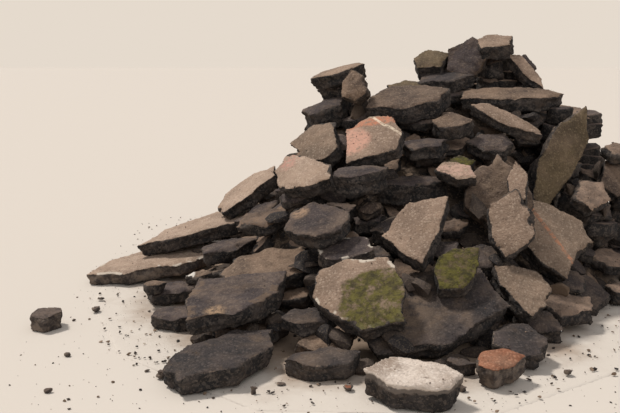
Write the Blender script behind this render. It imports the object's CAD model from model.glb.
import itertools
import math
import random
from collections import namedtuple

import bmesh
import bpy
import numpy as np
from mathutils import Matrix, Vector
from mathutils.bvhtree import BVHTree


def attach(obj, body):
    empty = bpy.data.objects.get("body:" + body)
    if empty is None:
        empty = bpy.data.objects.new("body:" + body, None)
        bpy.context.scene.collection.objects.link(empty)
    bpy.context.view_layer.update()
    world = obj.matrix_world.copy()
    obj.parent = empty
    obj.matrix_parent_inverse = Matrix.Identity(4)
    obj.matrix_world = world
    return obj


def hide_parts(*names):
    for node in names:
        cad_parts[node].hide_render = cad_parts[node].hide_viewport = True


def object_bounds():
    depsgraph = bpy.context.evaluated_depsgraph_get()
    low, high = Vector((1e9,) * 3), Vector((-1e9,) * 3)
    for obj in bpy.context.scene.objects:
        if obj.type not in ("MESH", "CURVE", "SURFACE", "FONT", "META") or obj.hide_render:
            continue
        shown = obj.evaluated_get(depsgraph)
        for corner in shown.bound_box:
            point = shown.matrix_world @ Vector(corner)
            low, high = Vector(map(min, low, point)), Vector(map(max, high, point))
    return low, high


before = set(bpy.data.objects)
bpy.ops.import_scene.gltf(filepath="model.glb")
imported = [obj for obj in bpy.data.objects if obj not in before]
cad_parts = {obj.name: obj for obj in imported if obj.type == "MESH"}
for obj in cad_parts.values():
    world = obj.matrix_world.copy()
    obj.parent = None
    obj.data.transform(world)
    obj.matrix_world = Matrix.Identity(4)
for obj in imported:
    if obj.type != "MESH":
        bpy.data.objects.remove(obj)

cad_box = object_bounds()

# The heap: broken slabs, each dressed from its solid, on packed rubble, with small slabs, rubble and grit in
# the hollows between them. All lengths are metres unless a name or a comment says otherwise.

# How many times coarser the meshes are than the tables below say
COARSER = 1.08

# Camera.
# A standing camera a little left of the heap's middle, level from side to side.
EYE = (-0.45, -4.10, 1.05)
LOOK_DOWN_DEG = 10.1
LENS_MM, SENSOR_MM = 50, 36


def placed(name, data):
    """A new object in the scene."""
    obj = bpy.data.objects.new(name, data)
    bpy.context.scene.collection.objects.link(obj)
    return obj


cam_data = bpy.data.cameras.new("camera")
cam_data.lens = LENS_MM
cam_data.sensor_width = SENSOR_MM
cam = placed("camera", cam_data)
cam.location = EYE
cam.rotation_euler = (math.radians(90 - LOOK_DOWN_DEG), 0, 0)
bpy.context.scene.camera = cam

# Noise.
# Smooth random fields from a hashed lattice, the same on every run.

# More than any value that is compared with it, to begin a search for the least
FAR_OFF = 9.0


def lattice(i, seed):
    """A random value between 0 and 1 for each whole-numbered place, hashed from it and the seed."""
    n = (i[:, 0] * 73856093) ^ (i[:, 1] * 19349663) ^ (i[:, 2] * 83492791) ^ (seed * 2654435761)
    n = (n ^ (n >> 13)) * 1274126177
    n = n ^ (n >> 16)
    return (n & 0xFFFFF) / float(0xFFFFF)


def noise(p, size, seed=0):
    """Value noise between -1 and 1 with features of about size."""
    q = p / size
    i = np.floor(q).astype(np.int64)
    f = q - i
    f = f * f * (3 - 2 * f)
    total = np.zeros(len(p))
    for corner in itertools.product((0, 1), repeat=3):
        w = np.where(corner, f, 1 - f)
        total += w[:, 0] * w[:, 1] * w[:, 2] * lattice(i + np.array(corner), seed)
    return total * 2 - 1


def layered(p, size, seed=0, octaves=3, keep=0.5):
    """Noise in octaves, each half the size of the last and keep times as strong."""
    total = np.zeros(len(p))
    weight, norm = 1.0, 0.0
    for k in range(octaves):
        total += weight * noise(p, size / 2**k, seed + 17 * k)
        norm += weight
        weight *= keep
    return total / norm


def stones(p, size, seed=0):
    """Rounded bumps, 1 at a stone's middle and 0 in the gap between stones."""
    q = p / size
    i = np.floor(q).astype(np.int64)
    best = np.full(len(p), FAR_OFF)
    for near in itertools.product((-1, 0, 1), repeat=3):
        c = i + np.array(near)
        spot = np.stack([lattice(c, seed), lattice(c, seed + 5), lattice(c, seed + 9)], 1)
        best = np.minimum(best, ((c + spot - q) ** 2).sum(1))
    return np.clip(1 - best / 0.6, 0, 1)


def step(x, low, high):
    """0 up to low, 1 from high on, smooth between."""
    t = np.clip((x - low) / (high - low), 0, 1)
    return t * t * (3 - 2 * t)


# Meshes.

# Vertices closer than 1 / WELD are one
WELD = 1e5


def read(items, name, width, kind=np.float64):
    """One field of all items of a mesh, as an array."""
    values = np.empty(len(items) * width, dtype=kind)
    items.foreach_get(name, values)
    return values.reshape(-1, width) if width > 1 else values


def mesh_arrays(node):
    """Corners and faces of a node's solid."""
    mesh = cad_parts[node].data
    return read(mesh.vertices, "co", 3), [tuple(p.vertices) for p in mesh.polygons]


def loose_parts(co, polys):
    """Splits a mesh into its separate solids, vertices at the same place taken as one."""
    key = np.round(co * WELD).astype(np.int64)
    uniq, index = np.unique(key, axis=0, return_inverse=True)
    index = index.reshape(-1)
    parent = list(range(len(uniq)))

    def find(a):
        while parent[a] != a:
            parent[a] = parent[parent[a]]
            a = parent[a]
        return a

    faces = [[int(index[v]) for v in p] for p in polys]
    for f in faces:
        for v in f[1:]:
            a, b = find(f[0]), find(v)
            if a != b:
                parent[a] = b
    groups = {}
    for f in faces:
        groups.setdefault(find(f[0]), []).append(f)
    place = np.zeros((len(uniq), 3))
    place[index] = co
    parts = []
    for g in groups.values():
        used = sorted({v for f in g for v in f})
        new = {v: k for k, v in enumerate(used)}
        parts.append((place[used], [[new[v] for v in f] for f in g]))
    parts.sort(key=lambda part: tuple(np.round(part[0].mean(0), 4)))
    return parts


def remeshed(co, faces, voxel):
    """The same solid with an even fine mesh."""
    mesh = bpy.data.meshes.new("work")
    mesh.from_pydata([tuple(v) for v in co], [], faces)
    obj = placed("work", mesh)
    mod = obj.modifiers.new("remesh", "REMESH")
    mod.mode = "VOXEL"
    mod.voxel_size = voxel
    mod.adaptivity = 0
    deps = bpy.context.evaluated_depsgraph_get()
    done = bpy.data.meshes.new_from_object(obj.evaluated_get(deps))
    bpy.data.objects.remove(obj)
    bpy.data.meshes.remove(mesh)
    v, n = read(done.vertices, "co", 3), read(done.vertices, "normal", 3)
    loops = read(done.loops, "vertex_index", 1, np.int32)
    totals = read(done.polygons, "loop_total", 1, np.int32)
    bpy.data.meshes.remove(done)
    return v, n, loops, totals


def slab_frame(co, faces):
    """A slab's middle, the direction out of its worn face, one along it and one across, and its thickness."""
    # triangles that face the same way count together, and the largest such group is the worn face or the
    # underside
    facing = {}
    for f in faces:
        a, b, c = co[f[0]], co[f[1]], co[f[2]]
        n = np.cross(b - a, c - a)
        area = np.linalg.norm(n)
        if area < 1e-9:
            continue
        # adding 0.0 makes -0.0 and 0.0 one key
        key = tuple(np.round(n / area, 2) + 0.0)
        facing.setdefault(key, []).append((n, area))
    largest = max(facing, key=lambda k: sum(a for _, a in facing[k]))
    up = sum(n for n, _ in facing[largest])
    up = up / np.linalg.norm(up)
    if up[2] < 0:
        up = -up
    along = np.array([1.0, 0, 0]) - up * up[0]
    along /= np.linalg.norm(along)
    across = np.cross(up, along)
    h = co @ up
    middle = (h.max() + h.min()) / 2
    centre = co.mean(0)
    centre = centre + up * (middle - centre @ up)
    return centre, up, along, across, (h.max() - h.min())


def outline_distance(local, corner):
    """Distance in the slab's plane from each point to the outline through the corners."""
    c = corner[np.argsort(np.arctan2(corner[:, 1], corner[:, 0]))]
    best = np.full(len(local), FAR_OFF)
    for k in range(len(c)):
        a, b = c[k], c[(k + 1) % len(c)]
        d = b - a
        t = np.clip(((local - a) @ d) / max(d @ d, 1e-12), 0, 1)
        best = np.minimum(best, np.hypot(*(local - a - t[:, None] * d).T))
    return best


# Slabs.

# How rough each kind of slab is: relief of the worn top, relief of the sides, chipping of the edges, and how
# far the outline wanders
ROUGH = {
    "worn": (0.0022, 0.013, 0.016, 0.034),
    "gritty": (0.0040, 0.014, 0.020, 0.034),
    "broken": (0.0070, 0.017, 0.024, 0.034),
    "soft": (0.0030, 0.009, 0.018, 0.034),
    "ragged": (0.0040, 0.017, 0.022, 0.075),
}
# Sizes of what a broken side shows: bites, ledges along the layers, stones and small stones
BITE, LEDGE, STONE, SMALL_STONE = 0.085, 0.12, 0.017, 0.009
# Sizes of what a worn face shows: low swells, grit and shallow pits
SWELL, GRIT, PIT = 0.16, 0.022, 0.05
# How deep a slab sags for each metre of its reach
SAG = 0.022
# How far in from the outline, and how far down from the top, an edge is chipped
CHIPPED_IN, CHIPPED_DOWN = 0.030, 0.028

# A dressed solid: its mesh, and what its material reads at each vertex. own is the place in the slab's own
# axes, broken is 1 on broken sides, level goes from 0 at the underside to 1 at the top, and inward is the
# distance from the outline.
Solid = namedtuple("Solid", "v loops totals own broken level inward")


def detailed(co, faces, kind, voxel, seed):
    """A broken slab made from the plain one: craggy layered sides, chipped edges and a worn top."""
    top_relief, side_relief, chip, wide = ROUGH[kind]
    centre, up, along, across, thick = slab_frame(co, faces)
    v, n, loops, totals = remeshed(co, faces, voxel)
    d = v - centre
    h = d @ up
    flat = np.stack([d @ along, d @ across], 1)
    reach = np.abs(flat).max()
    # the outline is drawn through the corners of the worn face, without those in its middle
    rim = co[((co - centre) @ up) > thick * 0.45] - centre
    corner = np.stack([rim @ along, rim @ across], 1)
    corner = corner[np.hypot(*corner.T) > 0.25 * np.hypot(*corner.T).max()]
    inward = outline_distance(flat, corner)
    facing = n @ up
    side = 1 - step(np.abs(facing), 0.45, 0.85)
    below = step(-facing, 0.3, 0.8)
    own = np.stack([flat[:, 0], flat[:, 1], h], 1)
    # every solid takes its noise from a place of its own
    shift = own + np.array([seed * 3.17, seed * 1.31, seed * 0.77])

    # the outline wanders in and out, caps and sides together
    wander = layered(shift * np.array([1, 1, 0.5]), 0.15, seed + 2, 3, 0.6)
    pull = min(wide, 0.3 * reach) * wander * (1 - step(inward, 0.0, 0.05 + wide))
    spoke = flat / np.maximum(np.hypot(*flat.T), 0.02)[:, None]
    v = v + (spoke[:, :1] * along + spoke[:, 1:] * across) * pull[:, None]

    # sides: big bites, ledges along the layers, then the stones
    bite = layered(shift, BITE, seed, 3, 0.55)
    ledge = layered(shift * np.array([1, 1, 5.5]), LEDGE, seed + 3, 2, 0.5)
    stone = stones(shift, STONE, seed + 4)
    small = stones(shift, SMALL_STONE, seed + 6)
    side_move = side_relief * (0.95 * bite + 0.65 * ledge - 0.1)
    side_move = side_move + 0.0045 * (stone - 0.4) + 0.0018 * (small - 0.4)
    out = n - up * facing[:, None]
    out = out / np.maximum(np.linalg.norm(out, axis=1), 1e-6)[:, None]

    # caps: low swells, grit and shallow pits above, coarser stones below
    swell = layered(shift, SWELL, seed + 8, 2, 0.5)
    grit = layered(shift, GRIT, seed + 9, 2, 0.6)
    pit = step(noise(shift, PIT, seed + 10), 0.45, 0.8)
    cap_move = top_relief * (0.7 * swell + 0.6 * grit - 0.2 - 0.8 * pit) + 0.0008 * (small - 0.5)
    rough_low = 0.008 * (layered(shift, 0.07, seed + 11, 3, 0.6) + 0.5) + 0.003 * (stone - 0.5)
    cap_move = cap_move * (1 - below) + rough_low * below
    v = v + out * (side_move * side)[:, None] + up * (np.sign(facing) * cap_move * (1 - side))[:, None]

    # the slab sags a little from its middle, along a line of its own
    turn = seed * 0.9
    bend = (flat[:, 0] * math.cos(turn) + flat[:, 1] * math.sin(turn)) / reach
    v = v + up * (SAG * reach * (0.25 - bend**2))[:, None]

    # chipped edges: the rim is lowered where a coarse field says so, most at the very edge
    wear = step(noise(shift, 0.07, seed + 12), -0.25, 0.9)
    wear = wear + 0.35 * step(noise(shift, 0.03, seed + 13), 0.2, 0.9)
    near = 1 - step(inward, 0.0, CHIPPED_IN)
    for sign, share in ((1, 0.8), (-1, 0.5)):
        close = 1 - step(thick / 2 - sign * h, 0.0, CHIPPED_DOWN)
        v = v - up * (sign * chip * wear * near * close * share)[:, None]
    # broken colour reaches in over the chipped rim, and covers the underside
    over_rim = step(wear * near * (0.5 + 0.5 * noise(shift, 0.02, seed + 14)), 0.22, 0.5)
    broken = np.maximum(np.clip(np.maximum(side, over_rim), 0, 1), below)
    v[:, 2] = np.maximum(v[:, 2], 0)
    return Solid(v, loops, totals, own, broken, np.clip(h / thick + 0.5, 0, 1), inward)


def add_field(mesh, name, kind, values):
    """A value at each vertex for the material to read."""
    field = mesh.attributes.new(name, kind, "POINT")
    key = "vector" if kind == "FLOAT_VECTOR" else "value"
    field.data.foreach_set(key, values.astype(np.float32).ravel())


def join(name, solids):
    """One piece from dressed solids, with the fields that its material reads."""
    bases = np.cumsum([0] + [len(part.v) for part in solids])
    columns = Solid(*zip(*solids))
    v = np.concatenate(columns.v)
    loops = np.concatenate([part + base for part, base in zip(columns.loops, bases)]).astype(np.int32)
    totals = np.concatenate(columns.totals)
    mesh = bpy.data.meshes.new(name)
    mesh.vertices.add(len(v))
    mesh.vertices.foreach_set("co", v.astype(np.float32).ravel())
    mesh.loops.add(len(loops))
    mesh.loops.foreach_set("vertex_index", loops)
    mesh.polygons.add(len(totals))
    mesh.polygons.foreach_set("loop_start", np.concatenate([[0], np.cumsum(totals)[:-1]]).astype(np.int32))
    mesh.polygons.foreach_set("use_smooth", np.ones(len(totals), dtype=bool))
    mesh.update(calc_edges=True)
    mesh.validate()
    add_field(mesh, "own", "FLOAT_VECTOR", np.concatenate(columns.own))
    for field in ("broken", "level", "inward"):
        add_field(mesh, field, "FLOAT", np.concatenate(getattr(columns, field)))
    # which of the piece's solids it is, from 0 to 1
    solid = [np.full(len(part.v), (k + 0.5) / len(solids)) for k, part in enumerate(solids)]
    add_field(mesh, "solid", "FLOAT", np.concatenate(solid))
    return placed(name, mesh)


# Materials.


class Nodes:
    """Shorthand for building a node material. at is a place to look a pattern up; sizes are in metres."""

    def __init__(self, name):
        self.mat = bpy.data.materials.new(name)
        self.mat.use_nodes = True
        self.tree = self.mat.node_tree
        self.tree.nodes.clear()

    def add(self, kind):
        return self.tree.nodes.new(kind)

    def link(self, source, target):
        self.tree.links.new(source, target)

    def put(self, node, key, value):
        """Links or sets an input."""
        if hasattr(value, "is_output"):
            self.link(value, node.inputs[key])
        else:
            node.inputs[key].default_value = value

    def field(self, name, vector=False):
        """A value that the mesh holds at each vertex."""
        node = self.add("ShaderNodeAttribute")
        node.attribute_name = name
        return node.outputs["Vector" if vector else "Fac"]

    def math(self, op, a, b=0.0):
        node = self.add("ShaderNodeMath")
        node.operation = op
        self.put(node, 0, a)
        self.put(node, 1, b)
        return node.outputs[0]

    def times(self, a, b):
        return self.math("MULTIPLY", a, b)

    def plus(self, a, b):
        return self.math("ADD", a, b)

    def vector(self, op, a, fixed):
        """A vector operation with a fixed second vector."""
        node = self.add("ShaderNodeVectorMath")
        node.operation = op
        self.link(a, node.inputs[0])
        node.inputs[1].default_value = fixed
        return node.outputs["Value" if op in ("DOT_PRODUCT", "DISTANCE") else "Vector"]

    def axis(self, vector, which):
        node = self.add("ShaderNodeSeparateXYZ")
        self.link(vector, node.inputs[0])
        return node.outputs[which]

    def span(self, value, low, high, to_low=0.0, to_high=1.0):
        """Goes smoothly from to_low to to_high while the value goes from low to high."""
        node = self.add("ShaderNodeMapRange")
        node.interpolation_type = "SMOOTHSTEP"
        self.put(node, "Value", value)
        for key, x in (("From Min", low), ("From Max", high), ("To Min", to_low), ("To Max", to_high)):
            self.put(node, key, x)
        return node.outputs["Result"]

    def fall(self, value, low, high):
        """1 up to low, 0 from high on."""
        return self.span(value, low, high, 1, 0)

    def noise(self, at, size, detail=3.0, rough=0.55):
        node = self.add("ShaderNodeTexNoise")
        self.put(node, "Vector", at)
        node.inputs["Scale"].default_value = 1 / size
        node.inputs["Detail"].default_value = detail
        node.inputs["Roughness"].default_value = rough
        return node.outputs["Fac"]

    def swayed(self, value, noise, much):
        """The value moved up and down by a noise, which makes a step in it ragged."""
        return self.plus(value, self.times(self.math("SUBTRACT", noise, 0.5), much))

    def cells(self, at, size):
        """Stones: the distance from a stone's middle, and a random colour for each."""
        node = self.add("ShaderNodeTexVoronoi")
        self.put(node, "Vector", at)
        node.inputs["Scale"].default_value = 1 / size
        return node.outputs["Distance"], node.outputs["Color"]

    def part(self, colour, which):
        node = self.add("ShaderNodeSeparateColor")
        self.link(colour, node.inputs[0])
        return node.outputs[which]

    def mix(self, fac, a, b):
        node = self.add("ShaderNodeMix")
        node.data_type = "RGBA"
        node.clamp_factor = True
        self.put(node, 0, fac)
        self.put(node, 6, a if hasattr(a, "is_output") else (*a, 1))
        self.put(node, 7, b if hasattr(b, "is_output") else (*b, 1))
        return node.outputs[2]

    def tint(self, base, colour, where, strength):
        """The base colour with another laid over it where a mask says so."""
        return self.mix(self.times(where, strength), base, colour)

    def finished(self, colour, rough, height):
        """Ends the material with its relief, shader and output."""
        bump = self.add("ShaderNodeBump")
        self.put(bump, "Height", height)
        bump.inputs["Strength"].default_value = 0.9
        bump.inputs["Distance"].default_value = 1.0
        shader = self.add("ShaderNodeBsdfPrincipled")
        self.put(shader, "Base Color", colour)
        self.put(shader, "Roughness", rough)
        shader.inputs["Specular IOR Level"].default_value = 0.25
        self.link(bump.outputs[0], shader.inputs["Normal"])
        self.link(shader.outputs[0], self.add("ShaderNodeOutputMaterial").inputs[0])
        return self.mat


def rgb(r, g, b):
    """A colour as seen, 0 to 255, as the linear values that shaders take."""
    out = []
    for c in (r, g, b):
        c = c / 255
        out.append(c / 12.92 if c <= 0.04045 else ((c + 0.055) / 1.055) ** 2.4)
    return tuple(out)


# Looks of the worn faces: main colour, second colour, colour of stone specks, share of dust
LOOKS = {
    "dusty": (rgb(152, 128, 110), rgb(124, 104, 89), rgb(174, 154, 136), 0.40),
    "pale": (rgb(170, 147, 129), rgb(142, 121, 105), rgb(192, 172, 154), 0.45),
    "grey": (rgb(134, 113, 96), rgb(104, 88, 75), rgb(158, 140, 122), 0.30),
    "umber": (rgb(104, 86, 73), rgb(72, 60, 53), rgb(130, 112, 96), 0.25),
    "charcoal": (rgb(76, 66, 64), rgb(54, 47, 47), rgb(104, 92, 84), 0.30),
    "black": (rgb(67, 59, 57), rgb(46, 42, 42), rgb(94, 84, 79), 0.16),
    "brown": (rgb(124, 102, 85), rgb(80, 66, 57), rgb(148, 127, 107), 0.35),
    "olive": (rgb(98, 83, 62), rgb(74, 62, 48), rgb(126, 110, 86), 0.22),
    "white": (rgb(208, 193, 180), rgb(150, 134, 122), rgb(220, 208, 196), 0.20),
    "brick": (rgb(154, 100, 74), rgb(104, 68, 51), rgb(176, 130, 104), 0.25),
}
# Colours of the broken sides: main colour, second colour
SIDES = {
    "dark": (rgb(38, 36, 36), rgb(69, 62, 58)),
    "brown": (rgb(52, 45, 41), rgb(98, 81, 67)),
    "grey": (rgb(56, 50, 48), rgb(116, 103, 92)),
    "white": (rgb(34, 32, 32), rgb(58, 53, 51)),
}
# Looks that take turns on the slabs of a varied piece, each from a share of them on
VARIED = ((0.30, "brown"), (0.62, "black"), (0.80, "dusty"))
DUST = rgb(160, 136, 116)
EARTH = rgb(112, 92, 74)
CHIP = rgb(206, 194, 178)
SALMON = rgb(200, 152, 132)
CREAM = rgb(222, 204, 180)
ORANGE_PINK = rgb(184, 120, 92)
MOSS_DARK, MOSS_LIGHT = rgb(44, 42, 18), rgb(92, 87, 34)


def asphalt(name, look, side="dark", marks=None, moss_at=None, varied=False):
    """Worn asphalt over a broken bituminous side. marks adds paint and the like, moss_at places moss."""
    main, second, speck, dust = LOOKS[look]
    m = Nodes(name)
    own = m.field("own", True)
    r = random.Random(name)
    at = m.vector("ADD", own, (r.uniform(0, 9), r.uniform(0, 9), r.uniform(0, 9)))
    patch = m.span(m.noise(at, 0.17, 4, 0.6), 0.36, 0.64)
    cloud = m.noise(at, 0.05, 4, 0.65)
    fine = m.noise(at, 0.006, 3, 0.7)
    grain, grain_colour = m.cells(at, 0.010)
    sand, sand_colour = m.cells(at, 0.0046)
    grain_tone, sand_tone = m.part(grain_colour, 0), m.part(sand_colour, 1)

    # worn face: two tones in patches, earth rubbed in, single stones a little lighter or darker, then dust
    top = m.mix(patch, second, main)
    if varied:
        solid = m.field("solid")
        for low, other in VARIED:
            top = m.mix(m.span(solid, low, low + 0.02), top, m.mix(patch, LOOKS[other][1], LOOKS[other][0]))
    top = m.tint(top, second, m.span(cloud, 0.44, 0.70), 0.45)
    top = m.tint(top, EARTH, m.span(m.noise(at, 0.11, 5, 0.62), 0.50, 0.74), 0.5)
    dark = tuple(0.45 * c for c in second)
    top = m.tint(top, dark, m.fall(sand_tone, 0.0, 0.35), 0.26)
    top = m.tint(top, speck, m.span(sand_tone, 0.70, 1.0), 0.34)
    top = m.tint(top, speck, m.times(m.span(grain_tone, 0.70, 0.76), m.fall(grain, 0.40, 0.55)), 0.45)
    top = m.tint(top, dark, m.times(m.fall(grain_tone, 0.10, 0.16), m.fall(grain, 0.32, 0.5)), 0.35)
    top = m.tint(top, DUST, m.span(m.noise(at, 0.13, 5, 0.66), 0.42, 0.72), dust)
    if marks:
        top = marks(m, own, at, top)
    if moss_at:
        # the patch has a ragged edge, and the ground under it is darker
        where = m.span(m.swayed(moss_at(m, own), m.noise(at, 0.08, 4, 0.65), 1.6), 0.30, 0.62)
        grown = m.span(m.noise(at, 0.045, 5, 0.72), 0.33, 0.52)
        green = m.mix(m.span(m.noise(at, 0.022, 4, 0.7), 0.34, 0.66), MOSS_DARK, MOSS_LIGHT)
        top = m.tint(top, rgb(84, 70, 52), where, 0.45)
        top = m.tint(top, green, m.times(where, grown), 0.88)

    # broken side: bitumen black with stones, and earth in places
    wall = m.mix(m.span(cloud, 0.42, 0.66), *SIDES[side])
    wall = m.tint(wall, rgb(104, 94, 86), m.span(grain_tone, 0.74, 0.82), 0.34)
    wall = m.tint(wall, rgb(124, 111, 99), m.span(sand_tone, 0.8, 1.0), 0.28)
    wall = m.tint(wall, rgb(86, 71, 59), m.span(m.noise(at, 0.07, 4, 0.7), 0.50, 0.72), 0.4)
    if side == "white":
        # whitewash has run down over the upper edge
        level = m.swayed(m.field("level"), m.noise(at, 0.05, 4, 0.6), 0.5)
        wall = m.mix(m.span(level, 0.62, 0.72), wall, rgb(104, 95, 88))
        wall = m.mix(m.span(level, 0.84, 0.92), wall, rgb(190, 176, 163))
    # dust lies on whatever faces up
    up = m.axis(m.add("ShaderNodeNewGeometry").outputs["Normal"], "Z")
    lies = m.times(m.span(up, 0.35, 0.95), m.span(m.noise(at, 0.03, 4, 0.7), 0.42, 0.62))
    wall = m.tint(wall, DUST, lies, 0.5)

    colour = m.mix(m.span(m.swayed(m.field("broken"), cloud, 0.9), 0.38, 0.56), top, wall)
    height = m.plus(m.times(m.fall(grain, 0.1, 0.6), 0.0014), m.times(fine, 0.0011))
    height = m.plus(height, m.times(m.fall(sand, 0.1, 0.7), 0.0008))
    return m.finished(colour, m.plus(0.80, m.times(fine, 0.18)), height)


# Marks. Places are in a slab's own plane, from its middle.


def along_line(m, own, a, b, width, soft):
    """1 within width of the line from a to b."""
    (ax, ay), (bx, by) = a, b
    length = math.hypot(bx - ax, by - ay)
    nx, ny = (by - ay) / length, -(bx - ax) / length
    off = m.math("SUBTRACT", m.vector("DOT_PRODUCT", own, (nx, ny, 0)), ax * nx + ay * ny)
    return m.fall(m.math("ABSOLUTE", off), width, width + soft)


def blob(m, own, centre, reach, soft):
    """1 within reach of a place."""
    away = m.vector("DISTANCE", m.vector("MULTIPLY", own, (1, 1, 0)), (*centre, 0))
    return m.fall(away, reach, reach + soft)


def rim(m, at, width, low):
    """1 in ragged stretches of the worn face's own edge."""
    edge = m.fall(m.field("inward"), width, width + 0.008)
    return m.times(edge, m.span(m.noise(at, 0.09, 3, 0.6), low, low + 0.06))


def worn_paint(m, at, mask, top, colour, hold):
    """Paint that has flaked off in places; more is left where hold is greater."""
    left = m.fall(m.noise(at, 0.018, 5, 0.75), hold - 0.1, hold + 0.08)
    return m.tint(top, colour, m.times(mask, left), 0.85)


def pink_marks(m, own, at, top):
    top = worn_paint(m, at, blob(m, own, (-0.09, 0.0), 0.062, 0.035), top, SALMON, 0.58)
    broad = along_line(m, own, (-0.05, 0.10), (0.12, 0.09), 0.016, 0.012)
    top = worn_paint(m, at, broad, top, ORANGE_PINK, 0.54)
    thin = along_line(m, own, (0.04, 0.08), (0.12, -0.02), 0.003, 0.005)
    return worn_paint(m, at, thin, top, CREAM, 0.55)


def stained(m, own, at, top):
    return worn_paint(m, at, blob(m, own, (-0.05, 0.09), 0.02, 0.05), top, rgb(186, 138, 124), 0.5)


def thin_line(m, own, at, top):
    line = along_line(m, own, (-0.10, 0.16), (0.02, -0.10), 0.006, 0.006)
    return worn_paint(m, at, line, top, rgb(178, 122, 92), 0.52)


def strip(m, own, at, top):
    line = along_line(m, own, (-0.1, 0.01), (0.1, -0.01), 0.030, 0.02)
    return worn_paint(m, at, line, top, rgb(186, 152, 136), 0.52)


def tan_patch(m, own, at, top):
    return worn_paint(m, at, blob(m, own, (-0.06, 0.07), 0.018, 0.035), top, rgb(158, 130, 106), 0.55)


def low_tan_patch(m, own, at, top):
    top = worn_paint(m, at, blob(m, own, (-0.06, -0.13), 0.016, 0.035), top, rgb(162, 134, 106), 0.55)
    return m.tint(top, EARTH, rim(m, at, 0.03, 0.48), 0.5)


def earthy_left(m, own, at, top):
    """Grit ground into the left half, sparse white chips all over."""
    chip, chip_colour = m.cells(at, 0.06)
    chip = m.fall(chip, 0.07, 0.11)
    top = m.tint(top, CHIP, m.times(chip, m.span(m.part(chip_colour, 2), 0.80, 0.82)), 0.75)
    grit = m.times(blob(m, own, (-0.18, 0.0), 0.10, 0.16), m.span(m.noise(at, 0.05, 4, 0.7), 0.32, 0.60))
    top = m.tint(top, rgb(124, 104, 86), grit, 0.65)
    back = m.times(blob(m, own, (0.02, 0.20), 0.09, 0.08), m.span(m.noise(at, 0.05, 4, 0.7), 0.38, 0.60))
    return m.tint(top, rgb(108, 90, 75), back, 0.45)


def pale_edges(m, own, at, top):
    return m.tint(top, CHIP, rim(m, at, 0.010, 0.50), 0.8)


def pale_line(m, own, at, top):
    """Dust along the upper edge only."""
    line = m.times(m.fall(m.field("inward"), 0.014, 0.024), m.span(m.axis(own, "Y"), 0.0, 0.03))
    return m.tint(top, rgb(168, 148, 130), line, 0.75)


def white_end(m, own, at, top):
    """A white chip on the later of the slabs."""
    later = m.span(m.field("solid"), 0.5, 0.52)
    return m.mix(m.times(later, blob(m, own, (-0.05, -0.01), 0.025, 0.012)), top, rgb(214, 206, 196))


def one_red(m, own, at, top):
    """One of the loose crumbs is a reddish stone."""
    off = m.math("ABSOLUTE", m.math("SUBTRACT", m.field("solid"), 0.656))
    return m.mix(m.fall(off, 0.01, 0.02), top, rgb(128, 82, 62))


def moss_middle(m, own):
    return m.math("MAXIMUM", blob(m, own, (0.06, -0.05), 0.08, 0.09), blob(m, own, (0.05, -0.17), 0.07, 0.08))


def moss_all(m, own):
    return blob(m, own, (0.0, 0.0), 0.14, 0.06)


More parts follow.
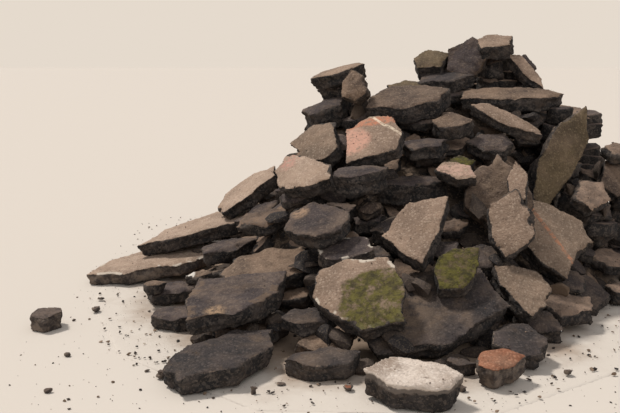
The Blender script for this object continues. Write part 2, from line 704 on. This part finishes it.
# One row a node: look of the worn face, look of the broken sides, roughness, voxel in mm, marks, moss
SLABS = {
    "front_black_lower": ("black", "dark", "gritty", 6.5, None, None),
    "white_topped_block": ("white", "white", "soft", 6, None, None),
    "front_small_slabs": ("black", "dark", "gritty", 6.5, None, None),
    "brick_lump": ("brick", "grey", "broken", 6, None, None),
    "right_toe_dark_slab": ("black", "dark", "gritty", 7, None, None),
    "layered_brown_slab": ("brown", "brown", "broken", 6, None, None),
    "inner_low_slabs": ("charcoal", "dark", "broken", 10, "varied", None),
    "dark_front_slab": ("black", "dark", "gritty", 7, None, None),
    "front_black_upper": ("charcoal", "dark", "gritty", 6.5, low_tan_patch, None),
    "big_black_centre": ("black", "dark", "gritty", 7, earthy_left, None),
    "long_left_low": ("pale", "grey", "gritty", 7, pale_edges, None),
    "left_small_slabs": ("brown", "dark", "gritty", 7, white_end, None),
    "brown_flat_left": ("brown", "dark", "broken", 7, None, None),
    "long_left_upper": ("pale", "dark", "worn", 7.5, None, None),
    "right_toe_grey_slab": ("grey", "dark", "gritty", 7, None, None),
    "inner_middle_slabs": ("charcoal", "dark", "broken", 10, "varied", None),
    "big_grey_right": ("grey", "dark", "worn", 7, thin_line, None),
    "mossy_left": ("dusty", "dark", "worn", 6.5, pale_edges, moss_middle),
    "dark_wedge": ("black", "dark", "gritty", 7, None, None),
    "pale_edged_dark_slab": ("charcoal", "grey", "gritty", 7, pale_edges, None),
    "beige_centre": ("dusty", "dark", "worn", 6.5, None, None),
    "mossy_right": ("olive", "dark", "soft", 6.5, None, moss_all),
    "left_leaning_slab": ("pale", "dark", "worn", 7, None, None),
    "charcoal_left": ("charcoal", "dark", "worn", 7, tan_patch, None),
    "brown_face_slab": ("dusty", "dark", "gritty", 7, None, None),
    "right_dark_slab": ("black", "dark", "gritty", 8, None, None),
    "diag_black_slab": ("black", "dark", "gritty", 6.5, pale_line, None),
    "rough_brown_piece": ("umber", "brown", "broken", 6.5, None, None),
    "pale_pink_stained": ("pale", "dark", "worn", 6.5, stained, None),
    "black_block": ("charcoal", "dark", "gritty", 6.5, None, None),
    "dark_round_slab": ("charcoal", "dark", "soft", 6.5, None, None),
    "rough_brown_round": ("umber", "brown", "broken", 7, None, None),
    "beige_wedge": ("dusty", "dark", "worn", 6, None, None),
    "pink_strip_slab": ("dusty", "dark", "gritty", 6.5, strip, None),
    "pink_painted_slab": ("dusty", "dark", "worn", 6.5, pink_marks, None),
    "beige_upper_left": ("grey", "dark", "worn", 6.5, None, None),
    "dark_middle_slab": ("charcoal", "dark", "gritty", 7, None, None),
    "standing_olive": ("olive", "dark", "worn", 7, None, None),
    "small_mossy_slab": ("olive", "dark", "soft", 6.5, None, moss_all),
    "right_leaning_slab": ("umber", "dark", "gritty", 8, None, None),
    "dark_arch_slab": ("charcoal", "dark", "gritty", 7, None, None),
    "inner_top_slabs": ("charcoal", "dark", "broken", 9, "varied", None),
    "long_dark_brown_slab": ("brown", "dark", "gritty", 7, None, None),
    "curved_beige_slab": ("dusty", "dark", "worn", 6.5, None, None),
    "brown_lens_slab": ("brown", "dark", "gritty", 7, None, None),
    "thick_brown_top": ("umber", "dark", "gritty", 7, None, None),
    "round_brown_standing": ("brown", "brown", "broken", 7, None, None),
    "jutting_left_slab": ("dusty", "dark", "worn", 7, None, None),
    "small_top_slabs": ("olive", "dark", "gritty", 7, None, None),
    "dark_bar_slab": ("black", "dark", "gritty", 7, None, None),
    "gritty_standing_top": ("charcoal", "brown", "broken", 7, None, None),
    "right_plate": ("charcoal", "dark", "gritty", 7, None, None),
    "leaning_plank": ("dusty", "dark", "worn", 7, None, None),
    "peak_slab": ("dusty", "dark", "worn", 7, None, None),
    "rear_low_slabs": ("grey", "dark", "ragged", 11, "varied", None),
    "right_end_slabs": ("grey", "dark", "ragged", 10, "varied", None),
    "rear_middle_slabs": ("grey", "dark", "ragged", 11, "varied", None),
    "rear_upper_slabs": ("umber", "dark", "ragged", 11, "varied", None),
    "toe_crumbs": ("charcoal", "grey", "broken", 6, one_red, None),
}

# Topmost slabs that are drawn this many times larger than their solids, which closes the gaps between them
GROWN = {
    "gritty_standing_top": 1.35,
    "right_plate": 1.35,
    "leaning_plank": 1.15,
    "small_top_slabs": 1.2,
    "peak_slab": 1.1,
    "inner_top_slabs": 1.15,
}
MM = 0.001

for count, (node, (look, side, kind, voxel, marks, moss)) in enumerate(SLABS.items()):
    built = []
    for k, (part, faces) in enumerate(loose_parts(*mesh_arrays(node))):
        part = part.mean(0) + (part - part.mean(0)) * GROWN.get(node, 1)
        built.append(detailed(part, faces, kind, voxel * MM * COARSER, count * 7 + k))
    obj = join(node + "_piece", built)
    varied = marks == "varied"
    obj.data.materials.append(asphalt(node + "_look", look, side, None if varied else marks, moss, varied))
    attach(obj, "root")
    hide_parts(node)

# Packed rubble.

GROUND = rgb(204, 194, 183)


def rubble_look():
    """Dark earth and stones on the heap, thinning out to pale dust at the rim of the spread fines."""
    m = Nodes("packed_rubble_look")
    own = m.field("own", True)
    level = m.field("level")
    stone, stone_colour = m.cells(own, 0.028)
    sand, sand_colour = m.cells(own, 0.008)
    colour = m.mix(m.span(m.noise(own, 0.25, 5, 0.6), 0.4, 0.62), rgb(56, 48, 43), rgb(104, 88, 74))
    colour = m.tint(colour, rgb(42, 38, 38), m.span(m.part(stone_colour, 0), 0.6, 0.8), 0.6)
    colour = m.tint(colour, rgb(140, 120, 102), m.span(m.part(sand_colour, 1), 0.7, 0.9), 0.4)
    dust = m.mix(m.noise(own, 0.05, 5, 0.7), rgb(168, 148, 130), rgb(134, 114, 97))
    to_rim = m.swayed(m.field("inward"), m.noise(own, 0.22, 5, 0.62), 0.5)
    dust = m.mix(m.span(to_rim, 0.10, 0.42), GROUND, dust)
    colour = m.mix(m.fall(level, 0.02, 0.07), colour, dust)
    height = m.times(m.times(m.fall(stone, 0.1, 0.6), 0.004), m.span(level, 0.01, 0.05))
    return m.finished(colour, 0.95, m.plus(height, m.times(m.noise(own, 0.012, 4, 0.7), 0.0022)))


RUBBLE_VOXEL = 0.016
# What lies lower than this in the solid is its foot
SOLE = 0.0005
# The foot is deepened by FOOT for the remesh, which would lose so thin a sheet of fines, and laid flat after
# it, a little under the floor
FOOT, UNDER_FLOOR = 0.05, 0.004
# Between these heights the spread fines turn into the heap's lumps
FINES_END, LUMPS_START = 0.012, 0.10

part, faces = loose_parts(*mesh_arrays("packed_rubble"))[0]
toe = part[part[:, 2] < SOLE][:, :2]
middle = toe.mean(0)
part[:, 2] = np.where(part[:, 2] < SOLE, -FOOT, part[:, 2])
v, n, loops, totals = remeshed(part, faces, RUBBLE_VOXEL * COARSER)
foot = v[:, 2] < 0
to_rim = outline_distance(v[:, :2] - middle, toe - middle)
high = step(v[:, 2], FINES_END, LUMPS_START)
lumps = 0.019 * (stones(v, 0.085, 3) - 0.7) + 0.011 * (stones(v, 0.04, 5) - 0.6)
lumps = lumps + 0.010 * (layered(v, 0.2, 7) - 0.2)
v = v + n * (lumps * high)[:, None]
# the spread fines thin out at their rim, and dip under the floor there
thin = step(to_rim, 0.0, 0.35) * (1 - high) + high
depth = np.clip(-v[:, 2] / FOOT, 0, 1)
v[:, 2] = v[:, 2] * thin + 0.002 * (layered(v, 0.03, 9, 2) - 0.2) * thin * (1 - high)
edge = step(to_rim, 0.005, 0.06)
v[:, 2] = np.where(foot, -UNDER_FLOOR, np.maximum(v[:, 2], 0.0015) * edge - 0.003 * (1 - edge))
# the underside ends a little inside the rim
v[:, :2] += (middle - v[:, :2]) * (0.03 * depth)[:, None]
level = v[:, 2] / cad_box[1][2]
rubble = join("packed_rubble_piece", [Solid(v, loops, totals, v, np.zeros(len(v)), level, to_rim)])
rubble.data.materials.append(rubble_look())
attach(rubble, "root")
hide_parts("packed_rubble")

# Small slabs, rubble and grit.
# Small slabs lie half sunk in the rubble wherever no large one covers it, most of them round the back, and in
# stacks under slabs that reach out. Broken bits lie in the hollows between the slabs, and grit on them and
# round the toe.

UP = Vector((0, 0, 1))
# An underside is a face whose normal points down at least this much
DOWNWARD = -0.3
# This far from any place in the heap is outside it
OUTSIDE = 4

# all solids as one shape to find places on, with the node that each face is of
all_co, all_faces, owner = [], [], []
for node in sorted(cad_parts):
    co, polys = mesh_arrays(node)
    all_faces += [tuple(len(all_co) + i for i in p) for p in polys]
    all_co += [tuple(c) for c in co]
    owner += [node] * len(polys)
shape = BVHTree.FromPolygons(all_co, all_faces)

dice = random.Random(11)


def somewhere(low, high):
    """A random place in the box between two corners."""
    return Vector([dice.uniform(a, b) for a, b in zip(low, high)])


def jitter(much):
    """A random offset of up to much along each axis."""
    return much * somewhere((-1, -1, -1), (1, 1, 1))


# What sight lines aim at, and how steeply they come down, in radians
AIM_LOW, AIM_HIGH = (-1.3, -1.4, 0.02), (1.3, 1.3, 0.9)
LEAST_STEEP, MOST_STEEP = 0.05, 1.2


def from_outside():
    """Where a random sight line from outside the heap meets it."""
    turn, rise = dice.uniform(0, 2 * math.pi), dice.uniform(LEAST_STEEP, MOST_STEEP)
    aim = somewhere(AIM_LOW, AIM_HIGH)
    away = Vector((math.cos(turn) * math.cos(rise), math.sin(turn) * math.cos(rise), math.sin(rise)))
    return shape.ray_cast(aim + away * OUTSIDE, -away)


def room_above(place, most):
    """The height free over a place, where the underside of a slab closes it off within most."""
    _place, out, _face, room = shape.ray_cast(place + 0.002 * UP, UP, most)
    return room if out is not None and out.z <= DOWNWARD else 0


# Rings of a small slab: share of the way out, level from the underside up, 1 where it is broken
RINGS = (
    (0.35, 1.0, 0),
    (0.65, 1.0, 0),
    (0.86, 1.0, 0),
    (0.96, 0.97, 0.3),
    (1.0, 0.86, 1),
    (0.97, 0.68, 1),
    (1.01, 0.5, 1),
    (0.96, 0.32, 1),
    (0.99, 0.14, 1),
    (0.90, 0.0, 1),
    (0.45, 0.0, 1),
)
RING_POINTS = 28


def small_slab(seed, size, thick):
    """A broken slab of 5 to 7 straight breaks, as rings of points closed by a fan above and below."""
    cuts = dice.randint(5, 7)
    turn = np.linspace(0, 2 * math.pi, RING_POINTS, endpoint=False)
    reach = np.full(RING_POINTS, FAR_OFF)
    for k in range(cuts):
        facing = 2 * math.pi * (k + dice.uniform(-0.3, 0.3)) / cuts
        reach = np.minimum(reach, dice.uniform(0.6, 1.0) / np.maximum(np.cos(turn - facing), 0.2))
    reach *= size / 2
    ring = np.stack([np.cos(turn), np.sin(turn)], 1) * reach[:, None]
    rows = []
    for share, level, _ in RINGS:
        rows.append(np.column_stack([ring * share, np.full(RING_POINTS, (level - 0.5) * thick)]))
    own = np.concatenate(rows + [[(0, 0, 0.5 * thick), (0, 0, -0.5 * thick)]])
    broken = np.append(np.repeat([row[2] for row in RINGS], RING_POINTS), [0, 1]).astype(float)
    inward = np.append(np.concatenate([reach * (1 - row[0]) for row in RINGS]), [size / 2, size / 2]).clip(0)

    # the outline and the sides wander, and the caps swell
    shift = own + seed * np.array([1.7, 0.9, 0.4])
    wave = 0.020 * layered(shift * np.array([1, 1, 0.6]), 0.07, seed, 3, 0.6)
    wave = wave + 0.010 * layered(shift * np.array([1, 1, 5]), 0.05, seed + 3, 2)
    wave = wave * (1 - step(inward, 0.0, 0.05))
    v = own.copy()
    v[:, :2] += own[:, :2] / np.maximum(np.hypot(own[:, 0], own[:, 1]), 0.02)[:, None] * wave[:, None]
    v[:, 2] += 0.006 * layered(shift, 0.06, seed + 5, 3, 0.6)

    loops, totals = [], []
    top, bottom, last = len(own) - 2, len(own) - 1, len(RINGS) - 1
    for i in range(RING_POINTS):
        j = (i + 1) % RING_POINTS
        loops += [top, i, j]
        for k in range(last):
            here, below = k * RING_POINTS, (k + 1) * RING_POINTS
            loops += [here + i, below + i, below + j, here + j]
        loops += [bottom, last * RING_POINTS + j, last * RING_POINTS + i]
        totals += [3] + [4] * last + [3]
    level = own[:, 2] / thick + 0.5
    return Solid(v, np.array(loops), np.array(totals, dtype=np.int32), own, broken, level, inward)


small, taken = [], []


def lay(size, thick, way, place):
    """Adds a small slab at a place, its worn face turned the given way."""
    turned = way.to_track_quat("Z", "Y").to_matrix() @ Matrix.Rotation(dice.uniform(0, 6.28), 3, "Z")
    slab = small_slab(len(small), size, thick)
    v = slab.v @ np.array(turned).T + np.array(place)
    v[:, 2] = np.maximum(v[:, 2], 0)
    small.append(slab._replace(v=v))
    taken.append((place, size))


# A layer of a stack is no thicker than this
LAYER = 0.065


def stack(foot, room, sizes, shake, widening):
    """Small slabs on each other from the foot up, wider and less tidy low down where widening is 1."""
    layers = math.ceil(room / LAYER)
    for k in range(layers):
        spread = widening * (1 - k / layers)
        place = foot + UP * (k + 0.5) * room / layers + jitter(shake + 0.045 * spread)
        size = dice.uniform(*sizes) + 0.07 * spread
        lay(size, max(room / layers * 1.2, 0.03), UP + jitter(0.2 + 0.3 * spread), place)


# stacks under the slabs that reach out behind and on the right, from the rubble up to them
STACK_TRIES, STACKS_APART = 5000, 0.12
LOWEST_STACK, HIGHEST_STACK = 0.06, 0.5
STACKS_FROM, STACKS_TO = (-0.8, -0.3, 0.2), (1.2, 0.9, 1.0)
RIGHT_FLANK_X, REAR_Y = 0.65, 0.25
for _ in range(STACK_TRIES):
    spot = somewhere(STACKS_FROM, STACKS_TO)
    if spot.y < REAR_Y and spot.x < RIGHT_FLANK_X:
        continue
    hit, out, _face, _d = shape.ray_cast(spot, -UP, 0.3)
    if hit is None or out.z < 0.4 or any((hit.xy - place.xy).length < STACKS_APART for place, _ in taken):
        continue
    room = room_above(hit, HIGHEST_STACK)
    if room >= LOWEST_STACK:
        stack(hit, room, (0.12, 0.18), 0.015, 1)

# small slabs in the rubble, 80 to 280 mm across, where no large slab is in their way
SMALL_SLABS, SMALL_SLAB_TRIES = 210, 12000
for _ in range(SMALL_SLAB_TRIES):
    if len(small) >= SMALL_SLABS:
        break
    hit, out, face, _d = from_outside()
    if hit is None or owner[face] != "packed_rubble" or hit.z < 0.03:
        continue
    size = 0.08 + 0.20 * dice.random() ** 1.5
    if any((hit - place).length < 0.40 * (size + other) for place, other in taken):
        continue
    way = out + 0.35 * UP + jitter(0.4)
    across = way.to_track_quat("Z", "Y").to_matrix()
    eye = hit + out * 0.05
    spokes = [across @ Vector((math.cos(k), math.sin(k), 0)) for k in range(6)]
    if any(shape.ray_cast(eye, spoke, 0.45 * size)[0] for spoke in spokes):
        continue
    thick = dice.uniform(0.035, 0.06)
    lay(size, thick, way, hit + out * thick * dice.uniform(-0.1, 0.45))

# stacks up to the places where daylight would show between the topmost slabs, and the draws after them go on
# as if they weren't there
DAYLIGHT = ((0.25, 0.40, 1.00), (0.42, 0.44, 0.94), (0.50, 0.20, 0.93), (0.55, 0.24, 0.96))
state = dice.getstate()
for place in DAYLIGHT:
    hit, _out, _face, room = shape.ray_cast(Vector(place), -UP, 0.6)
    if hit is not None:
        stack(hit, room, (0.15, 0.19), 0.01, 0)
dice.setstate(state)

small_slabs = join("small_broken_slabs", small)
small_slabs.data.materials.append(asphalt("small_broken_slabs_look", "charcoal", "dark", varied=True))
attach(small_slabs, "root")


def ball(level):
    """Corners and faces of a rough ball of radius 1."""
    bm = bmesh.new()
    bmesh.ops.create_icosphere(bm, subdivisions=level, radius=1)
    co = np.array([v.co for v in bm.verts])
    faces = np.array([[v.index for v in f.verts] for f in bm.faces])
    bm.free()
    return co, faces


def bits_look(name):
    """Dark broken bits, some brown or pale, and a few white ones."""
    m = Nodes(name)
    tone = m.field("tone")
    at = m.add("ShaderNodeNewGeometry").outputs["Position"]
    colour = m.mix(m.span(tone, 0.25, 0.35), rgb(44, 40, 40), rgb(72, 62, 56))
    colour = m.mix(m.span(tone, 0.55, 0.6), colour, rgb(104, 86, 71))
    colour = m.mix(m.span(tone, 0.82, 0.87), colour, rgb(138, 118, 101))
    colour = m.mix(m.span(tone, 0.98, 0.985), colour, rgb(190, 178, 164))
    colour = m.tint(colour, rgb(130, 114, 96), m.span(m.noise(at, 0.006, 3, 0.7), 0.5, 0.65), 0.4)
    return m.finished(colour, 0.92, m.times(m.noise(at, 0.005, 3, 0.7), 0.0015))


# Flats on each bit
FLATS = 9


def scattered(name, spots, level):
    """Angular bits joined into one piece. spots holds (place, out of the surface, size, tone)."""
    ball_co, ball_faces = ball(level)
    r = np.random.default_rng(len(spots) * 7 + level)
    all_v, all_f, tones = [], [], []
    for k, (place, out, size, tone) in enumerate(spots):
        # flats cut across the ball give a broken look
        c = ball_co.copy()
        for _ in range(FLATS):
            d = r.normal(size=3)
            d /= np.linalg.norm(d)
            cut = r.uniform(0.35, 0.7)
            c -= np.maximum(c @ d - cut, 0)[:, None] * d
        c *= np.array([1.15, r.uniform(0.7, 1.05), r.uniform(0.4, 0.75)]) * size / 2
        turn = Vector(out).to_track_quat("Z", "Y").to_matrix() @ Matrix.Rotation(r.uniform(0, 6.28), 3, "Z")
        tip = Matrix.Rotation(r.uniform(-0.5, 0.5), 3, "X")
        c = c @ np.array(turn @ tip).T
        c += np.array(place) + np.array(out) * size * 0.12
        c[:, 2] = np.maximum(c[:, 2], 0.0)
        all_f.append(ball_faces + k * len(ball_co))
        all_v.append(c)
        tones.append(np.full(len(c), tone))
    mesh = bpy.data.meshes.new(name)
    mesh.from_pydata(np.concatenate(all_v).tolist(), [], np.concatenate(all_f).tolist())
    add_field(mesh, "tone", "FLOAT", np.concatenate(tones))
    mesh.materials.append(bits_look(name + "_look"))
    obj = placed(name, mesh)
    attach(obj, "root")


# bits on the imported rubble, wherever it shows from outside, 16 to 66 mm across
CHUNKS, CHUNK_TRIES = 1100, 30000
chunks = []
for _ in range(CHUNK_TRIES):
    if len(chunks) >= CHUNKS:
        break
    hit, out, face, _d = from_outside()
    if hit is None or owner[face] != "packed_rubble" or hit.z < 0.012:
        continue
    size = 0.016 + 0.05 * dice.random() ** 2.2
    chunks.append((hit, out, size, dice.random()))

# bits jammed where one slab lies close over another and the gap shows from some side
JAMMED, JAM_TRIES = 380, 20000
NARROWEST_GAP, WIDEST_GAP = 0.03, 0.16
JAMMED_FROM, JAMMED_TO = (-1.3, -1.4, 0.05), (1.2, 1.2, 1.1)
round_about = [Vector((math.cos(k * math.pi / 4), math.sin(k * math.pi / 4), 0.15)) for k in range(8)]
jammed = []
for _ in range(JAM_TRIES):
    if len(jammed) >= JAMMED:
        break
    spot = somewhere(JAMMED_FROM, JAMMED_TO)
    hit, out, _face, _d = shape.ray_cast(spot, -UP, 0.2)
    if hit is None or out.z < 0.5:
        continue
    room = room_above(hit, WIDEST_GAP)
    eye = hit + UP * room / 2
    if room < NARROWEST_GAP or all(shape.ray_cast(eye, way, OUTSIDE)[0] for way in round_about):
        continue
    jammed.append((hit, out, min(0.12, 1.5 * room), 0.6 * dice.random()))

# grit seen from above: on the slabs, on the rubble and on the ground round the toe
GRIT_TRIES, IN_FROM_BOX, ABOVE_ALL = 5000, 0.02, 3
SHARE_ON_GROUND = 0.35
(left, near, _), (right, far, _) = cad_box
grit = []
for _ in range(GRIT_TRIES):
    x = dice.uniform(left + IN_FROM_BOX, right - IN_FROM_BOX)
    y = dice.uniform(near + IN_FROM_BOX, far - IN_FROM_BOX)
    dice.random()  # passed over, so that the draws after it stay as they are
    hit, out, face, _d = shape.ray_cast(Vector((x, y, ABOVE_ALL)), -UP)
    if hit is None:
        if dice.random() < SHARE_ON_GROUND:
            grit.append((Vector((x, y, 0)), UP, 0.004 + 0.014 * dice.random() ** 4, dice.random() * 0.9))
    elif out.z > 0.6:
        on_slab = owner[face] != "packed_rubble"
        size = 0.003 + (0.006 if on_slab else 0.018) * dice.random() ** 3
        grit.append((hit, out, size, dice.uniform(0.3, 0.9) if on_slab else dice.random()))

scattered("small_rubble", chunks, 2)
scattered("jammed_rubble", jammed, 2)
scattered("loose_grit", grit, 1)

# Floor and light.

# The floor lies just under the heap, and reaches further behind it than before it
FLOOR_Z, SIDEWAYS, BEHIND = -0.001, 30, 60
AMBIENT = 0.62
SHOWN_BEHIND = rgb(229, 218, 205)

floor_look = Nodes("floor_look")
floor_shader = floor_look.add("ShaderNodeBsdfPrincipled")
floor_shader.inputs["Base Color"].default_value = (*GROUND, 1)
floor_shader.inputs["Roughness"].default_value = 0.95
floor_look.link(floor_shader.outputs[0], floor_look.add("ShaderNodeOutputMaterial").inputs[0])

floor_mesh = bpy.data.meshes.new("floor")
corners = ((-SIDEWAYS, -SIDEWAYS), (SIDEWAYS, -SIDEWAYS), (SIDEWAYS, BEHIND), (-SIDEWAYS, BEHIND))
floor_mesh.from_pydata([(x, y, FLOOR_Z) for x, y in corners], [], [(0, 1, 2, 3)])
floor_mesh.materials.append(floor_look.mat)
placed("floor", floor_mesh)

world = bpy.data.worlds.new("world")
bpy.context.scene.world = world
world.use_nodes = True
tree = world.node_tree
tree.nodes.clear()
light = tree.nodes.new("ShaderNodeBackground")
light.inputs[0].default_value = (*rgb(226, 226, 228), 1)
light.inputs[1].default_value = AMBIENT
shown = tree.nodes.new("ShaderNodeBackground")
shown.inputs[0].default_value = (*SHOWN_BEHIND, 1)
shown.inputs[1].default_value = 1.0
path = tree.nodes.new("ShaderNodeLightPath")
pick = tree.nodes.new("ShaderNodeMixShader")
end = tree.nodes.new("ShaderNodeOutputWorld")
tree.links.new(path.outputs["Is Camera Ray"], pick.inputs[0])
tree.links.new(light.outputs[0], pick.inputs[1])
tree.links.new(shown.outputs[0], pick.inputs[2])
tree.links.new(pick.outputs[0], end.inputs[0])


def sun(name, toward, strength, angle, colour=(1, 1, 1)):
    """A sun that shines the given way; angle is how wide it looks, in degrees."""
    data = bpy.data.lights.new(name, "SUN")
    data.energy = strength
    data.angle = math.radians(angle)
    data.color = colour
    placed(name, data).rotation_euler = Vector(toward).to_track_quat("-Z", "Y").to_euler()


sun("key", (0.50, -0.30, -1.0), 2.8, 9, (1.0, 0.965, 0.91))
sun("fill", (-0.3, 0.9, -0.5), 0.55, 50)

bpy.context.scene.view_settings.view_transform = "Standard"
